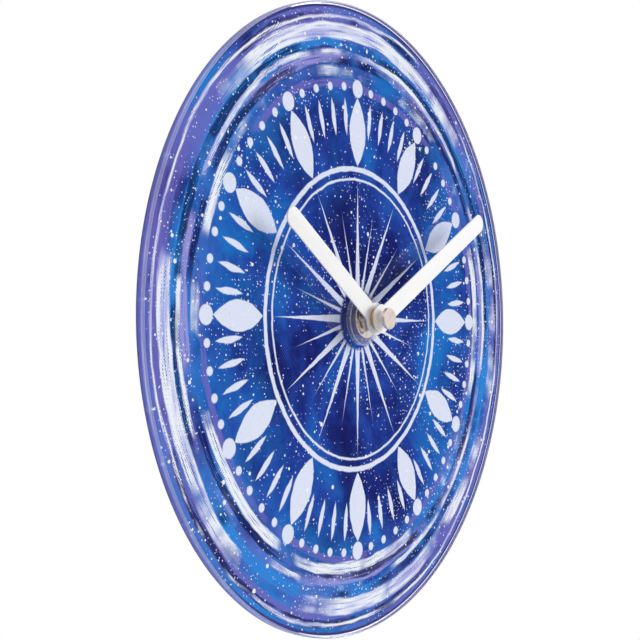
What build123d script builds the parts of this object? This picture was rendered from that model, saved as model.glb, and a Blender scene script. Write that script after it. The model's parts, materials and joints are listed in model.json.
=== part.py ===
from build123d import *
import os
from math import acos, cos, pi, radians, sin, tan

# Round frameless wall clock with a quartz movement. Millimetres.
# Each piece is drawn with the dial in the XY plane, Y up and Z from the wall towards the viewer,
# and is turned upright when it is saved: +Z up, front to -Y, wall at Y = 0, dial axis on X = Z = 0.

# Dial
DIAL_R = 136.5
DIAL_T = 4.0
DIAL_EDGE_R = 1.0
DIAL_HOLE_R = 4.3
FILM_T = 0.25
FILM_INSET = 0.2
GASKET_R = 14.0
GASKET_T = 1.0

# Fastening stack in front of the dial
THREAD_R = 3.95
THREAD_CLEARANCE = 0.05
WASHER_CLEARANCE = 0.2
CLEAR_WASHER_R = 11.6
CLEAR_WASHER_T = 2.4
CLEAR_WASHER_EDGE_R = 0.5
METAL_WASHER_R = 8.4
METAL_WASHER_T = 0.8
NUT_FLATS = 11.0
NUT_T = 3.0
NUT_CHAMFER = 0.7
BUSH_PROUD = 0.5
BUSH_FLANGE_R = 5.5
BUSH_FLANGE_T = 0.8

# Hands and what holds them
HAND_T = 0.6
HAND_GAP = 0.3
HOUR_W = 8.4
HOUR_REACH = 75.5
HOUR_BASE_R = 7.1
HOUR_DEGREES = -56.7
HOUR_BUSH_R = 3.4
HOUR_BUSH_FLANGE_R = 4.6
HOUR_BUSH_FLANGE_T = 0.3
MINUTE_W = 8.75
MINUTE_REACH = 105.0
MINUTE_BASE_R = 6.3
MINUTE_DEGREES = 61.45
COLLET_R = 4.8
COLLET_T = 2.1
COLLET_GROOVE = 0.35
CAP_NECK_R = 3.1
CAP_NECK_T = 2.6
CAP_HEAD_R = 4.65
CAP_HEAD_T = 1.7
CAP_EDGE_R = 0.35
CAP_THREAD_DEPTH = 3.4

# Nested shafts
HOUR_PIPE_R = 2.5
MINUTE_PIPE_R = 1.6
SECOND_ARBOR_R = 0.5
RUNNING_FIT = 0.06
PRESS_GAP = 0.02

# Cell and its contacts
CELL_R = 7.25
CELL_L = 50.5
CELL_NUB_R = 2.7
CELL_NUB_L = 1.2
CELL_SLEEVE_T = 0.15
CELL_CLEARANCE = 0.3
CELL_SINK = 0.6
CONTACT_T = 0.4
CONTACT_W = 4.0
SPRING_GAP = 1.9
CONTACT_TAB_L = 4.0
LEAF_HALF = 4.4

# Movement case
CASE_WALL = 1.4
CASE_FRONT_T = 1.2
CASE_CORNER_R = 3.0
CASE_EDGE_R = 0.5
DIVIDER_T = 1.2
BAY_CLEARANCE = 1.1
REAR_COVER_T = 1.4
COVER_CLEARANCE = 0.15
CLIP_W = 6.0
CLIP_T = 0.6
CLIP_REACH = 0.8
CLIP_OFFSET = 7.0
CRADLE_X = 15.0
CRADLE_T = 1.2
CRADLE_RISE = 4.0
THUMB_NOTCH_R = 7.0

# Clip-on hanger and the rail on the case that it slides over
HANGER_HOLE_R = 3.5
HANGER_WALL = 3.0
HANGER_T = 3.0
HANGER_PLAY = 0.1
RAIL_NECK_W = 5.0
RAIL_NECK_H = 0.9
RAIL_HEAD_W = 8.0
RAIL_HEAD_H = 1.1
RAIL_STOP_T = 1.0

# Gear train: tooth counts and modules
PINION_TEETH = 10
CANNON_TEETH = 12
ROTOR_STEP_TEETH = 60
SECOND_TEETH = 50
THIRD_TEETH = 75
CENTER_TEETH = 80
WORKS_TEETH = 36
HOUR_TEETH = 40
CENTER_MODULE = 0.22
SECOND_MODULE = 0.34
INTER_MODULE = 0.25
WORKS_MODULE = 0.4
PRESSURE_DEGREES = 20.0
ADDENDUM = 0.9
DEDENDUM = 1.25
TOOTH_THINNING = 0.15
UNDERCUT_TEETH = 17
FLANK_STEPS = 3

# Gear train: layout about the dial axis
THIRD_DEGREES = 60.0
INTER_DEGREES = 145.0
ROTOR_DEGREES = 120.0
WORKS_DEGREES = 5.0
SETTING_DEGREES = 20.0
WHEEL_T = 0.8
LAYER_GAP = 0.5
PINION_OVERRUN = 0.3
AXIAL_GAP = 0.4
END_SHAKE = 0.15
PLATE_GAP = 0.6
PLATE_T = 1.2
PLATE_MARGIN = 2.4
ARBOR_R = 0.7
PIVOT_R = 0.5
PIVOT_IN = 0.9
BOSS_R = 1.2
WORKS_POST_R = 1.0
POST_HEAD_R = 1.5
POST_HEAD_T = 0.3
PILLAR_R = 1.5
PILLAR_PIN_R = 0.8
CLUTCH_R = 4.0
CLUTCH_RISE = 0.8
CLUTCH_T = 0.2
CENTER_HUB_R = 1.95
HOUR_HUB_R = 3.4

# Setting knob
KNOB_R = 6.1
KNOB_T = 1.3
KNOB_SINK = 0.3
KNOB_GAP = 0.3
KNOB_NOTCHES = 24
KNOB_NOTCH_R = 0.35
KNOB_SLOT_W = 1.6
KNOB_SLOT_HALF = 4.3
KNOB_SLOT_DEPTH = 0.6
SETTING_SHAFT_R = 1.0

# Stepper motor
MAGNET_R = 2.9
MAGNET_T = 3.0
STATOR_T = 1.0
STATOR_AIR = 0.5
STATOR_PAD = 5.5
STATOR_ARM = 10.5
STATOR_LEG_W = 3.2
STATOR_REACH = 9.1
CORE_W = 3.0
BOBBIN_HALF = 3.0
BOBBIN_WALL = 0.6
BOBBIN_PLAY = 0.2
WINDING_SINK = 0.4

# Circuit board
BOARD_T = 0.8
BOARD_W = 8.4
BOARD_STANDOFF = 1.2
BOARD_SIDE_GAP = 0.8
BOARD_PIN_R = 0.8
BOARD_POST_R = 1.5
CHIP_R = 2.6
CHIP_T = 1.0
CHIP_EDGE_R = 0.8
CHIP_X = 8.5
CRYSTAL_R = 1.0
CRYSTAL_L = 6.0
CRYSTAL_X = 17.0


def polar(radius, degrees, origin=(0.0, 0.0)):
    """A point at a radius and bearing from an origin, counted anticlockwise from +X."""
    return (
        origin[0] + radius * cos(radians(degrees)),
        origin[1] + radius * sin(radians(degrees)),
    )


def pitch_radius(teeth, module):
    return teeth * module / 2


def profile_shift(teeth, mate_teeth):
    """Small pinions are shifted outwards, so that they aren't undercut, and their wheels inwards."""
    if teeth < UNDERCUT_TEETH:
        return (UNDERCUT_TEETH - teeth) / UNDERCUT_TEETH
    if mate_teeth < UNDERCUT_TEETH:
        return -(UNDERCUT_TEETH - mate_teeth) / UNDERCUT_TEETH
    return 0.0


def tip_radius(teeth, mate_teeth, module):
    return pitch_radius(teeth, module) + module * (ADDENDUM + profile_shift(teeth, mate_teeth))


def mesh_phase(teeth, mate_teeth, mate_phase, bearing):
    """The bearing of a tooth that puts this gear in mesh with a mate, seen along bearing from the mate."""
    return bearing + 180 + 180 / teeth - (mate_phase - bearing) * mate_teeth / teeth


# Levels, from the wall to the front
case_depth = CELL_SINK + 2 * CELL_R + CELL_CLEARANCE / 2 + CASE_FRONT_T
floor_z = case_depth - CASE_FRONT_T
bush_z0 = floor_z - BUSH_FLANGE_T
plate_z0 = REAR_COVER_T + PLATE_GAP
plate_z1 = plate_z0 + PLATE_T
inter_z0 = plate_z1 + AXIAL_GAP
inter_z1 = inter_z0 + WHEEL_T
second_z0 = inter_z1 + LAYER_GAP
second_z1 = second_z0 + WHEEL_T
third_z0 = second_z1 + LAYER_GAP
third_z1 = third_z0 + WHEEL_T
center_z0 = third_z1 + PINION_OVERRUN + LAYER_GAP
center_z1 = center_z0 + WHEEL_T
cannon_z0 = center_z1 + CLUTCH_RISE + END_SHAKE
works_z0 = cannon_z0 + PINION_OVERRUN
works_z1 = works_z0 + WHEEL_T
cannon_z1 = works_z1 + PINION_OVERRUN
hour_z0 = cannon_z1 + AXIAL_GAP
hour_z1 = hour_z0 + WHEEL_T

# Levels in front of the case
film_z0 = case_depth + GASKET_T
dial_z0 = film_z0 + FILM_T
dial_z1 = dial_z0 + DIAL_T
clear_washer_z1 = dial_z1 + CLEAR_WASHER_T
metal_washer_z1 = clear_washer_z1 + METAL_WASHER_T
nut_z1 = metal_washer_z1 + NUT_T
bush_z1 = nut_z1 + BUSH_PROUD
hour_bush_z0 = bush_z1 + HAND_GAP
hour_hand_z0 = hour_bush_z0 + HOUR_BUSH_FLANGE_T
hour_hand_z1 = hour_hand_z0 + HAND_T
collet_z0 = hour_hand_z1 + HAND_GAP
collet_z1 = collet_z0 + COLLET_T
minute_hand_z1 = collet_z1 + HAND_T
cap_neck_z1 = minute_hand_z1 + CAP_NECK_T
cap_z1 = cap_neck_z1 + CAP_HEAD_T
minute_pipe_z1 = minute_hand_z1 + CAP_THREAD_DEPTH - END_SHAKE
second_arbor_z1 = minute_pipe_z1 - END_SHAKE

# Axes of the train
third_module = CENTER_MODULE * (CENTER_TEETH + PINION_TEETH) / (THIRD_TEETH + PINION_TEETH)
hour_module = WORKS_MODULE * (CANNON_TEETH + WORKS_TEETH) / (HOUR_TEETH + PINION_TEETH)
third_at = polar(pitch_radius(CENTER_TEETH + PINION_TEETH, CENTER_MODULE), THIRD_DEGREES)
inter_at = polar(pitch_radius(SECOND_TEETH + PINION_TEETH, SECOND_MODULE), INTER_DEGREES)
rotor_at = polar(pitch_radius(ROTOR_STEP_TEETH + PINION_TEETH, INTER_MODULE), ROTOR_DEGREES, inter_at)
works_at = polar(pitch_radius(CANNON_TEETH + WORKS_TEETH, WORKS_MODULE), WORKS_DEGREES)
setting_at = polar(pitch_radius(CANNON_TEETH + WORKS_TEETH, WORKS_MODULE), SETTING_DEGREES, works_at)
coil_y = rotor_at[1] + STATOR_REACH

# Inside of the case
cell_span = CELL_L + 2 * CONTACT_T + SPRING_GAP
left_need = STATOR_ARM - rotor_at[0] + BAY_CLEARANCE + CONTACT_T
right_need = setting_at[0] + KNOB_R + KNOB_GAP + BAY_CLEARANCE + CONTACT_T
in_x = max(cell_span / 2, left_need, right_need)
in_y1 = coil_y + BOBBIN_HALF + BAY_CLEARANCE
divider_y1 = -(tip_radius(CENTER_TEETH, PINION_TEETH, CENTER_MODULE) + BAY_CLEARANCE)
divider_y0 = divider_y1 - DIVIDER_T
cell_y = divider_y0 - CELL_CLEARANCE - CELL_R
cell_z = CELL_SINK + CELL_R
in_y0 = cell_y - CELL_R - CELL_CLEARANCE
out_x = in_x + CASE_WALL
out_y0 = in_y0 - CASE_WALL
out_y1 = in_y1 + CASE_WALL
rail_y1 = out_y1 + RAIL_NECK_H + RAIL_HEAD_H
hanger_y = rail_y1 + HANGER_PLAY + HANGER_WALL + HANGER_HOLE_R

# Where the train plate stands on its pillars
plate_x = in_x - CONTACT_T - PLATE_MARGIN
plate_y0 = divider_y1 + PLATE_MARGIN / 2
plate_y1 = coil_y - BOBBIN_HALF - PLATE_MARGIN
pillar_x = plate_x - PLATE_MARGIN
pillars = [
    (-pillar_x, plate_y0 + PLATE_MARGIN),
    (pillar_x, plate_y0 + PLATE_MARGIN),
    (-pillar_x, rotor_at[1] - STATOR_PAD - PLATE_MARGIN),
    (pillar_x, plate_y1 - PLATE_MARGIN),
]

# Circuit board behind the front wall, above the train
board_z1 = floor_z - BOARD_STANDOFF
board_z0 = board_z1 - BOARD_T
board_x = in_x - CONTACT_T - BOARD_SIDE_GAP
board_y1 = in_y1 - BOARD_SIDE_GAP
board_y0 = board_y1 - BOARD_W
board_y = (board_y0 + board_y1) / 2
board_posts = [(-board_x + CONTACT_TAB_L + 2 * BOARD_POST_R, board_y), (0.0, board_y)]

# Stepper motor
stator_z0 = cannon_z0 - STATOR_T - END_SHAKE
stator_z1 = stator_z0 + STATOR_T
core_z1 = stator_z1 + STATOR_T
core_z = (stator_z1 + core_z1) / 2
magnet_z0 = (stator_z0 + stator_z1 - MAGNET_T) / 2
magnet_z1 = magnet_z0 + MAGNET_T
bobbin_half_l = STATOR_ARM - STATOR_LEG_W - BOBBIN_PLAY

# Where each arbor enters its front boss
third_boss_z = center_z1 + PINION_OVERRUN + AXIAL_GAP
inter_boss_z = center_z1 + AXIAL_GAP
rotor_boss_z = magnet_z1 + AXIAL_GAP
setting_boss_z = cannon_z1 + AXIAL_GAP

STANDING = (Align.CENTER, Align.CENTER, Align.MIN)


def rod(radius, z0, z1, at=(0.0, 0.0)):
    return Pos(at[0], at[1], z0) * Cylinder(radius, z1 - z0, align=STANDING)


def ring(outer_r, inner_r, z0, z1, at=(0.0, 0.0)):
    return rod(outer_r, z0, z1, at) - rod(inner_r, z0, z1, at)


def rod_along_x(radius, x0, x1, y, z):
    return Pos((x0 + x1) / 2, y, z) * Rot(0, 90, 0) * Cylinder(radius, x1 - x0)


def block(x0, x1, y0, y1, z0, z1):
    return Pos((x0 + x1) / 2, (y0 + y1) / 2, z0) * Box(x1 - x0, y1 - y0, z1 - z0, align=STANDING)


def rounded_block(x0, x1, y0, y1, z0, z1, corner_r):
    outline = RectangleRounded(x1 - x0, y1 - y0, corner_r)
    return Pos((x0 + x1) / 2, (y0 + y1) / 2, z0) * extrude(outline, amount=z1 - z0)


def turned(profile):
    """A solid of revolution about the dial axis, from (radius, z) corners."""
    corners = [(r, 0, z) for r, z in profile]
    return revolve(make_face(Polyline(*corners, close=True)), Axis.Z)


def gear(teeth, mate_teeth, module, phase, z0, z1, at=(0.0, 0.0)):
    """A spur gear with involute flanks, drawn as short chords, and thinned teeth for running clearance."""
    shift = profile_shift(teeth, mate_teeth)
    pressure = radians(PRESSURE_DEGREES)
    base_r = pitch_radius(teeth, module) * cos(pressure)
    tip_r = tip_radius(teeth, mate_teeth, module)
    root_r = pitch_radius(teeth, module) - module * (DEDENDUM - shift)
    half_at_pitch = (pi / 2 + 2 * shift * tan(pressure) - TOOTH_THINNING) / teeth
    half_at_base = half_at_pitch + tan(pressure) - pressure

    def half_angle(radius):
        roll = acos(min(1.0, base_r / radius))
        return half_at_base - (tan(roll) - roll)

    flank_r0 = max(root_r, base_r)
    flank = [flank_r0 + (tip_r - flank_r0) * step / FLANK_STEPS for step in range(FLANK_STEPS + 1)]
    side = [(radius, half_angle(radius)) for radius in flank]
    if root_r < base_r:
        side.insert(0, (root_r, half_at_base))
    points = []
    for tooth in range(teeth):
        middle = radians(phase) + 2 * pi * tooth / teeth
        for radius, half in side:
            points.append((radius * cos(middle - half), radius * sin(middle - half)))
        for radius, half in reversed(side):
            points.append((radius * cos(middle + half), radius * sin(middle + half)))
    blank = extrude(make_face(Polyline(*points, close=True)), amount=z1 - z0)
    return Pos(at[0], at[1], z0) * blank


def arbor(at, boss_z):
    """A wheel's shaft between the train plate and a boss of the case, with a pivot at each end."""
    body = rod(ARBOR_R, plate_z1 + END_SHAKE, boss_z - END_SHAKE, at)
    return body + rod(PIVOT_R, plate_z1 - PIVOT_IN, boss_z + PIVOT_IN, at)


def boss(at, boss_z):
    """A pillar of the front case with a blind hole for a pivot."""
    hole = rod(PIVOT_R + RUNNING_FIT, boss_z, boss_z + PIVOT_IN + END_SHAKE, at)
    return rod(BOSS_R, boss_z, floor_z, at) - hole


def hand(width, reach, base_r, bore_r, degrees, z0, z1):
    """A flat baton with a round tip and a round base, turned clockwise from twelve o'clock."""
    tip_y = reach - width / 2
    blade = Pos(0, tip_y / 2) * Rectangle(width, tip_y) + Pos(0, tip_y) * Circle(width / 2)
    outline = blade + Circle(base_r) - Circle(bore_r)
    return Pos(0, 0, z0) * Rot(0, 0, -degrees) * extrude(outline, amount=z1 - z0)


# Phases that put the gears in mesh; a wheel's own phase is free where nothing drives it yet
center_phase = 0.0
third_pinion_phase = mesh_phase(PINION_TEETH, CENTER_TEETH, center_phase, THIRD_DEGREES)
second_pinion_phase = 0.0
third_phase = mesh_phase(THIRD_TEETH, PINION_TEETH, second_pinion_phase, THIRD_DEGREES)
second_phase = 0.0
inter_pinion_phase = mesh_phase(PINION_TEETH, SECOND_TEETH, second_phase, INTER_DEGREES)
inter_phase = 0.0
rotor_phase = mesh_phase(PINION_TEETH, ROTOR_STEP_TEETH, inter_phase, ROTOR_DEGREES)
cannon_phase = 0.0
works_phase = mesh_phase(WORKS_TEETH, CANNON_TEETH, cannon_phase, WORKS_DEGREES)
setting_phase = mesh_phase(CANNON_TEETH, WORKS_TEETH, works_phase, SETTING_DEGREES)
works_pinion_phase = 0.0
hour_phase = mesh_phase(HOUR_TEETH, PINION_TEETH, works_pinion_phase, WORKS_DEGREES + 180)


def acrylic_dial():
    disc = rod(DIAL_R, dial_z0, dial_z1)
    disc = fillet(disc.edges(), DIAL_EDGE_R)
    return disc - rod(DIAL_HOLE_R, dial_z0, dial_z1)


def printed_film():
    return ring(DIAL_R - DIAL_EDGE_R - FILM_INSET, DIAL_HOLE_R, film_z0, dial_z0)


def dial_gasket():
    return ring(GASKET_R, THREAD_R + WASHER_CLEARANCE, case_depth, film_z0)


def clear_washer():
    disc = rod(CLEAR_WASHER_R, dial_z1, clear_washer_z1)
    disc = fillet(disc.edges().group_by(Axis.Z)[-1], CLEAR_WASHER_EDGE_R)
    return disc - rod(THREAD_R + WASHER_CLEARANCE, dial_z1, clear_washer_z1)


def metal_washer():
    return ring(METAL_WASHER_R, THREAD_R + WASHER_CLEARANCE, clear_washer_z1, metal_washer_z1)


def hex_nut():
    hexagon = RegularPolygon(NUT_FLATS / 2, 6, major_radius=False)
    prism = Pos(0, 0, metal_washer_z1) * extrude(hexagon, amount=NUT_T)
    corner_r = NUT_FLATS / 2 / cos(pi / 6)
    turned_blank = rod(corner_r, metal_washer_z1, nut_z1)
    turned_blank = chamfer(turned_blank.edges(), NUT_CHAMFER)
    return (prism & turned_blank) - rod(THREAD_R + THREAD_CLEARANCE, metal_washer_z1, nut_z1)


def hour_hand():
    return hand(
        HOUR_W, HOUR_REACH, HOUR_BASE_R, HOUR_BUSH_R + PRESS_GAP, HOUR_DEGREES, hour_hand_z0, hour_hand_z1
    )


def hour_hand_bush():
    bore_r = HOUR_PIPE_R + PRESS_GAP
    flange = ring(HOUR_BUSH_FLANGE_R, bore_r, hour_bush_z0, hour_hand_z0)
    return flange + ring(HOUR_BUSH_R, bore_r, hour_hand_z0, hour_hand_z1)


def minute_hand():
    bore_r = MINUTE_PIPE_R + PRESS_GAP
    return hand(
        MINUTE_W, MINUTE_REACH, MINUTE_BASE_R, bore_r, MINUTE_DEGREES, collet_z1, minute_hand_z1
    )


def minute_hand_collet():
    """A turned collar with a shallow groove round its middle."""
    bore_r = MINUTE_PIPE_R + PRESS_GAP
    third = COLLET_T / 3
    return turned([
        (bore_r, collet_z0),
        (COLLET_R, collet_z0),
        (COLLET_R, collet_z0 + third),
        (COLLET_R - COLLET_GROOVE, collet_z0 + third + COLLET_GROOVE),
        (COLLET_R - COLLET_GROOVE, collet_z1 - third - COLLET_GROOVE),
        (COLLET_R, collet_z1 - third),
        (COLLET_R, collet_z1),
        (bore_r, collet_z1),
    ])


def cap_nut():
    """A closed nut: a round head on a neck, with a blind hole for the end of the minute pipe."""
    head = rod(CAP_HEAD_R, cap_neck_z1, cap_z1)
    head = fillet(head.edges(), CAP_EDGE_R)
    body = rod(CAP_NECK_R, minute_hand_z1, cap_neck_z1 + CAP_HEAD_T / 2) + head
    return body - rod(MINUTE_PIPE_R + PRESS_GAP, minute_hand_z1, minute_hand_z1 + CAP_THREAD_DEPTH)


def hour_wheel():
    wheel = gear(HOUR_TEETH, PINION_TEETH, hour_module, hour_phase, hour_z0, hour_z1)
    hub = rod(HOUR_HUB_R, hour_z0, bush_z0 - END_SHAKE)
    pipe = rod(HOUR_PIPE_R, hour_z0, hour_hand_z1)
    return wheel + hub + pipe - rod(MINUTE_PIPE_R + RUNNING_FIT, hour_z0, hour_hand_z1)


def minute_pipe():
    pinion = gear(CANNON_TEETH, WORKS_TEETH, WORKS_MODULE, cannon_phase, cannon_z0, cannon_z1)
    hub = rod(CENTER_HUB_R, center_z0, cannon_z0)
    pipe = rod(MINUTE_PIPE_R, center_z0, minute_pipe_z1)
    return pinion + hub + pipe - rod(SECOND_ARBOR_R + RUNNING_FIT, center_z0, minute_pipe_z1)


def minute_works_wheel():
    pinion_z1 = hour_z1 + PINION_OVERRUN
    wheel = gear(WORKS_TEETH, CANNON_TEETH, WORKS_MODULE, works_phase, works_z0, works_z1, works_at)
    pinion = gear(PINION_TEETH, HOUR_TEETH, hour_module, works_pinion_phase, works_z1, pinion_z1, works_at)
    return wheel + pinion - rod(WORKS_POST_R + RUNNING_FIT, works_z0, pinion_z1, works_at)


def center_wheel():
    wheel = gear(CENTER_TEETH, PINION_TEETH, CENTER_MODULE, center_phase, center_z0, center_z1)
    return wheel - rod(CENTER_HUB_R + RUNNING_FIT, center_z0, center_z1)


def clutch_spring():
    """A dished washer that presses the center wheel's drive on to the minute pipe."""
    inner_r = CENTER_HUB_R + RUNNING_FIT
    top = center_z1 + CLUTCH_RISE
    return turned([
        (CLUTCH_R, center_z1),
        (CLUTCH_R, center_z1 + CLUTCH_T),
        (inner_r + CLUTCH_T, top),
        (inner_r, top),
        (inner_r, top - CLUTCH_T),
        (CLUTCH_R - CLUTCH_T, center_z1),
    ])


def third_wheel():
    pinion_z1 = center_z1 + PINION_OVERRUN
    wheel = gear(THIRD_TEETH, PINION_TEETH, third_module, third_phase, third_z0, third_z1, third_at)
    pinion = gear(
        PINION_TEETH, CENTER_TEETH, CENTER_MODULE, third_pinion_phase, third_z1, pinion_z1, third_at
    )
    return wheel + pinion + arbor(third_at, third_boss_z)


def second_wheel():
    pinion_z1 = third_z1 + PINION_OVERRUN
    wheel = gear(SECOND_TEETH, PINION_TEETH, SECOND_MODULE, second_phase, second_z0, second_z1)
    pinion = gear(PINION_TEETH, THIRD_TEETH, third_module, second_pinion_phase, second_z1, pinion_z1)
    hub = rod(BOSS_R, plate_z1 + END_SHAKE, second_z0)
    return wheel + pinion + hub - rod(SECOND_ARBOR_R + PRESS_GAP, plate_z1, pinion_z1)


def second_arbor():
    return rod(SECOND_ARBOR_R, plate_z1 - PIVOT_IN, second_arbor_z1)


def intermediate_wheel():
    pinion_z1 = second_z1 + PINION_OVERRUN
    wheel = gear(
        ROTOR_STEP_TEETH, PINION_TEETH, INTER_MODULE, inter_phase, inter_z0, inter_z1, inter_at
    )
    pinion = gear(
        PINION_TEETH, SECOND_TEETH, SECOND_MODULE, inter_pinion_phase, inter_z1, pinion_z1, inter_at
    )
    return wheel + pinion + arbor(inter_at, inter_boss_z)


def rotor_pinion():
    pinion = gear(
        PINION_TEETH,
        ROTOR_STEP_TEETH,
        INTER_MODULE,
        rotor_phase,
        inter_z0 - PINION_OVERRUN / 2,
        inter_z1 + PINION_OVERRUN,
        rotor_at,
    )
    return pinion + arbor(rotor_at, rotor_boss_z)


def rotor_magnet():
    return ring(MAGNET_R, ARBOR_R + PRESS_GAP, magnet_z0, magnet_z1, rotor_at)


def stator_plate():
    """A soft-iron plate with the rotor's hole, and two legs that carry the coil's core."""
    x, y = rotor_at
    leg_y1 = coil_y + CORE_W / 2
    arm_y = y + MAGNET_R + STATOR_AIR
    pad = block(x - STATOR_PAD, x + STATOR_PAD, y - STATOR_PAD + STATOR_AIR, arm_y, stator_z0, stator_z1)
    arms = block(x - STATOR_ARM, x + STATOR_ARM, y, arm_y, stator_z0, stator_z1)
    legs = [
        block(
            min(side * STATOR_ARM, side * (STATOR_ARM - STATOR_LEG_W)) + x,
            max(side * STATOR_ARM, side * (STATOR_ARM - STATOR_LEG_W)) + x,
            y,
            leg_y1,
            stator_z0,
            stator_z1,
        )
        for side in (-1, 1)
    ]
    bridge = rod(MAGNET_R + 2 * STATOR_AIR + STATOR_LEG_W / 2, stator_z0, stator_z1, rotor_at)
    hole = rod(MAGNET_R + STATOR_AIR, stator_z0, stator_z1, rotor_at)
    return pad + arms + bridge + legs[0] + legs[1] - hole


def coil_core():
    x = rotor_at[0]
    return block(
        x - STATOR_ARM, x + STATOR_ARM, coil_y - CORE_W / 2, coil_y + CORE_W / 2, stator_z1, core_z1
    )


def coil_box(half_l, half_y, half_z):
    x = rotor_at[0]
    return block(x - half_l, x + half_l, coil_y - half_y, coil_y + half_y, core_z - half_z, core_z + half_z)


def coil_bobbin():
    tube_y = CORE_W / 2 + BOBBIN_PLAY + BOBBIN_WALL
    tube_z = STATOR_T / 2 + BOBBIN_PLAY + BOBBIN_WALL
    ends = coil_box(bobbin_half_l, BOBBIN_HALF, BOBBIN_HALF)
    ends = ends - coil_box(bobbin_half_l - BOBBIN_WALL, BOBBIN_HALF, BOBBIN_HALF)
    tube = coil_box(bobbin_half_l, tube_y, tube_z)
    bore = coil_box(bobbin_half_l, CORE_W / 2 + BOBBIN_PLAY, STATOR_T / 2 + BOBBIN_PLAY)
    return ends + tube - bore


def coil_winding():
    tube_y = CORE_W / 2 + BOBBIN_PLAY + BOBBIN_WALL
    tube_z = STATOR_T / 2 + BOBBIN_PLAY + BOBBIN_WALL
    half_l = bobbin_half_l - BOBBIN_WALL
    outer = BOBBIN_HALF - WINDING_SINK
    return coil_box(half_l, outer, outer) - coil_box(half_l, tube_y, tube_z)


def train_plate():
    plate = rounded_block(-plate_x, plate_x, plate_y0, plate_y1, plate_z0, plate_z1, PLATE_MARGIN)
    for at in (third_at, inter_at, rotor_at):
        plate -= rod(PIVOT_R + RUNNING_FIT, plate_z0, plate_z1, at)
    plate -= rod(SECOND_ARBOR_R + RUNNING_FIT, plate_z0, plate_z1)
    plate -= rod(SETTING_SHAFT_R + RUNNING_FIT, plate_z0, plate_z1, setting_at)
    for at in pillars:
        plate -= rod(PILLAR_PIN_R + PRESS_GAP, plate_z0, plate_z1, at)
    return plate


def circuit_board():
    board = block(-board_x, board_x, board_y0, board_y1, board_z0, board_z1)
    for at in board_posts:
        board -= rod(BOARD_PIN_R + PRESS_GAP, board_z0, board_z1, at)
    return board


def chip_cover():
    drop = rod(CHIP_R, board_z0 - CHIP_T, board_z0, (CHIP_X, board_y))
    return fillet(drop.edges().group_by(Axis.Z)[0], CHIP_EDGE_R)


def quartz_crystal():
    can_x0 = CRYSTAL_X - CRYSTAL_L / 2
    can_z = board_z0 - CRYSTAL_R - PRESS_GAP
    return rod_along_x(CRYSTAL_R, can_x0, can_x0 + CRYSTAL_L, board_y, can_z)


def contact(side):
    """A strip up the side wall from the cell to the board; side is 1 on the right and -1 on the left."""
    wall_x = side * in_x
    face_x = side * (in_x - CONTACT_T)
    tab_x = side * (in_x - CONTACT_TAB_L - BOARD_SIDE_GAP)

    def strip(x_a, x_b, y0, y1, z0, z1):
        return block(min(x_a, x_b), max(x_a, x_b), y0, y1, z0, z1)

    strip_z0 = cell_z - CONTACT_W / 2
    strip_z1 = cell_z + CONTACT_W / 2
    riser = strip(wall_x, face_x, cell_y - LEAF_HALF - CONTACT_T, board_y, strip_z0, strip_z1)
    post = strip(wall_x, face_x, board_y - CONTACT_W, board_y, strip_z0, board_z0)
    tab = strip(wall_x, tab_x, board_y - CONTACT_W, board_y, board_z0 - CONTACT_T, board_z0)
    return riser + post + tab


def positive_contact():
    return contact(1)


def negative_contact():
    """The left strip with a bowed leaf that presses on the flat end of the cell."""
    wall_x = -in_x + CONTACT_T
    cell_x = in_x - CONTACT_T - CELL_L
    peak_x = 2 * cell_x - wall_x
    outer = [(wall_x, cell_y - LEAF_HALF), (peak_x, cell_y), (wall_x, cell_y + LEAF_HALF)]
    inner = [(x - CONTACT_T, y) for x, y in reversed(outer)]
    bow = Bezier(*outer) + Line(outer[-1], inner[0])
    bow += Bezier(*inner) + Line(inner[-1], outer[0])
    leaf = Pos(0, 0, cell_z - CONTACT_W / 2) * extrude(make_face(bow), amount=CONTACT_W)
    return contact(-1) + leaf


def cell_can_x():
    """Where the cell's flat end and its shoulder lie, with the nub on the positive contact."""
    nub_x = in_x - CONTACT_T
    return nub_x - CELL_L, nub_x - CELL_NUB_L


def aa_cell():
    flat_x, shoulder_x = cell_can_x()
    can = rod_along_x(CELL_R - CELL_SLEEVE_T, flat_x, shoulder_x, cell_y, cell_z)
    return can + rod_along_x(CELL_NUB_R, shoulder_x, shoulder_x + CELL_NUB_L, cell_y, cell_z)


def aa_cell_sleeve():
    flat_x, shoulder_x = cell_can_x()
    tube = rod_along_x(CELL_R, flat_x, shoulder_x, cell_y, cell_z)
    return tube - rod_along_x(CELL_R - CELL_SLEEVE_T, flat_x, shoulder_x, cell_y, cell_z)


def setting_pinion():
    knob_z1 = KNOB_SINK + KNOB_T
    pinion = gear(
        CANNON_TEETH, WORKS_TEETH, WORKS_MODULE, setting_phase, cannon_z0, cannon_z1, setting_at
    )
    shaft = rod(SETTING_SHAFT_R, knob_z1 - KNOB_SLOT_DEPTH, setting_boss_z - END_SHAKE, setting_at)
    pivot = rod(PIVOT_R, setting_boss_z - AXIAL_GAP, setting_boss_z + PIVOT_IN, setting_at)
    return pinion + shaft + pivot


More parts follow.
